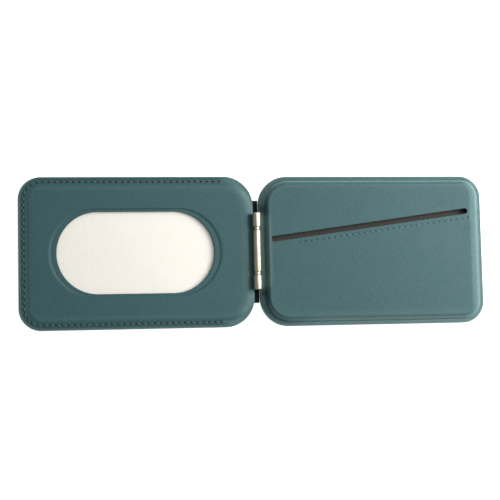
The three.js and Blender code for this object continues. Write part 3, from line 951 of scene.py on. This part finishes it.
def board_look():
    look = Look("fibre_board", colour(70, 66, 60), 0.85)
    fibre = look.noise(0.7, 6.0)
    look.base(look.mix(fibre, colour(58, 54, 50), colour(92, 86, 78)))
    look.bump(fibre, 0.05)
    return look.material


def lining_look():
    """Woven pocket lining."""
    look = Look("pocket_lining", colour(75, 68, 62), 0.85, Sheen_Weight=0.1)
    warp = look.node("ShaderNodeTexWave", {"Vector": look.place, "Scale": 1000 / 1.9,
                                           "Distortion": 0.4}, bands_direction="X")
    weft = look.node("ShaderNodeTexWave", {"Vector": look.place, "Scale": 1000 / 1.9,
                                           "Distortion": 0.4}, bands_direction="Y")
    weave = look.math("MULTIPLY", warp.outputs["Fac"], weft.outputs["Fac"])
    look.base(look.mix(weave, colour(54, 50, 46), colour(72, 67, 62)))
    look.bump(weave, 0.05)
    return look.material


def strip_look():
    look = Look("spine_ribbon", colour(14, 24, 30), 0.8, Specular_IOR_Level=0.2)
    fibres = look.noise(0.4, 5.0)
    look.base(look.mix(fibres, colour(6, 18, 22), colour(14, 38, 44)))
    look.bump(fibres, 0.04)
    return look.material


def metal_look(name, base, roughness, brushed):
    """Metal with fine brush marks along Y and slightly uneven polish."""
    look = Look(name, base, roughness, Metallic=1.0)
    marks = look.noise(0.5, 6.0, look.stretched(*brushed))
    dark = tuple(c * 0.88 for c in base[:3]) + (1.0,)
    look.base(look.mix(look.spread(marks, 0.0, 1.0, 0.35, 0.65), base, dark))
    look.rough(look.spread(marks, roughness - 0.05, roughness + 0.08, 0.3, 0.7))
    look.bump(marks, 0.0015)
    return look.material


def floor_look():
    look = Look("floor", (0.93, 0.93, 0.93, 1.0), 0.9, Emission_Color=(1, 1, 1, 1),
                Emission_Strength=0.8)
    look.rough(look.spread(look.noise(60), 0.85, 0.95))
    return look.material


# ---- Stage ------------------------------------------------------------------------------------


def make_floor(material):
    mesh = bpy.data.meshes.new("floor")
    reach = 6.0
    mesh.from_pydata([(-reach, -reach, 0), (reach, -reach, 0), (reach, reach, 0),
                      (-reach, reach, 0)], [], [(0, 1, 2, 3)])
    mesh.materials.append(material)
    floor = bpy.data.objects.new("floor", mesh)
    floor.location.z = -0.0002
    bpy.context.scene.collection.objects.link(floor)


def make_softbox(name, place, width, height, power):
    """A rectangular studio light aimed at the middle of the object."""
    data = bpy.data.lights.new(name, "AREA")
    data.shape = "RECTANGLE"
    data.size = width
    data.size_y = height
    data.energy = power
    light = bpy.data.objects.new(name, data)
    light.location = place
    light.rotation_euler = (-Vector(place)).to_track_quat("-Z", "Y").to_euler()
    bpy.context.scene.collection.objects.link(light)


def make_world(strength):
    world = bpy.data.worlds.new("studio")
    world.use_nodes = True
    background = world.node_tree.nodes["Background"]
    background.inputs["Color"].default_value = (1, 1, 1, 1)
    background.inputs["Strength"].default_value = strength
    bpy.context.scene.world = world


def make_camera():
    """The camera: high over the object, a little to the window panel's side."""
    data = bpy.data.cameras.new("camera")
    data.lens = 86.4
    data.sensor_width = 36
    camera = bpy.data.objects.new("camera", data)
    camera.location = (-0.0778, -0.0395, 0.5147)
    tilt = Matrix.Rotation(math.radians(4.48), 3, "X")
    pan = Matrix.Rotation(math.radians(-8.31), 3, "Y")
    roll = Matrix.Rotation(math.radians(-0.64), 3, "Z")
    camera.rotation_euler = (tilt @ pan @ roll).to_euler()
    bpy.context.scene.collection.objects.link(camera)
    bpy.context.scene.camera = camera


# ---- The object -------------------------------------------------------------------------------


def dress(node, material):
    """Gives a CAD node that stays as it is its finished material."""
    piece = frame["nodes"][node]
    piece.data.materials.clear()
    piece.data.materials.append(material)


TEAL = colour(39, 77, 81)
TEAL_PAINTED_SHADE = colour(16, 40, 44)
TEAL_WORN_AND_LIT = colour(108, 136, 133)
TEAL_BACK = colour(40, 79, 82)
CHAMPAGNE = colour(214, 205, 184)

make_camera()
make_world(0.24)
make_softbox("key_right", (0.36, 0.09, 0.26), 0.34, 0.26, 3.2)
make_softbox("fill_top", (0.15, 0.15, 0.60), 0.40, 0.40, 1.1)
make_floor(floor_look())
bpy.context.scene.view_settings.view_transform = "Standard"

face_look = leather_look("teal_leather", TEAL, TEAL_PAINTED_SHADE, TEAL_WORN_AND_LIT, 0.5)
back_look = leather_look("teal_back_leather", TEAL_BACK, TEAL_PAINTED_SHADE, TEAL_WORN_AND_LIT, 0.55)
stitch_look = thread_look("thread", colour(38, 64, 72), colour(70, 98, 104))
slot_stitch_look = thread_look("slot_thread", colour(46, 84, 84), colour(84, 116, 114))
gold_look = metal_look("champagne_metal", CHAMPAGNE, 0.38, (1.0, 0.2, 1.0))
nickel_look = metal_look("nickel", colour(190, 190, 192), 0.3, (1.0, 1.0, 1.0))
steel_look = metal_look("steel", colour(160, 162, 165), 0.35, (1.0, 1.0, 1.0))

window_leather(face_look)
slot_leather(face_look)
back_leather(window_panel, back_look, border_seam())
back_leather(slot_panel, back_look)
edge_material = edge_look()
for holder_panel in (window_panel, slot_panel):
    painted_edge(holder_panel, edge_material)
    hinge_leaf(holder_panel, gold_look)
border_stitches(stitch_look)
slot_stitches(slot_stitch_look)
hinge_pin(gold_look)
for washer_end in ("upper", "lower"):
    hinge_washer(washer_end, gold_look)
spine_ribbon(strip_look())

dress("window_inlay", inlay_look())
dress("window_film", film_look())
board_material = board_look()
for board_node in ("window_board", "slot_board", "window_frame", "slot_lip_strip"):
    dress(board_node, board_material)
lining_material = lining_look()
for lining_node in ("slot_lining_front", "slot_lining_back"):
    dress(lining_node, lining_material)
for panel_name in ("window", "slot"):
    for end_name in ("upper", "lower"):
        dress(f"{panel_name}_magnet_{end_name}", nickel_look)
        dress(f"{panel_name}_leaf_rivet_{end_name}", steel_look)
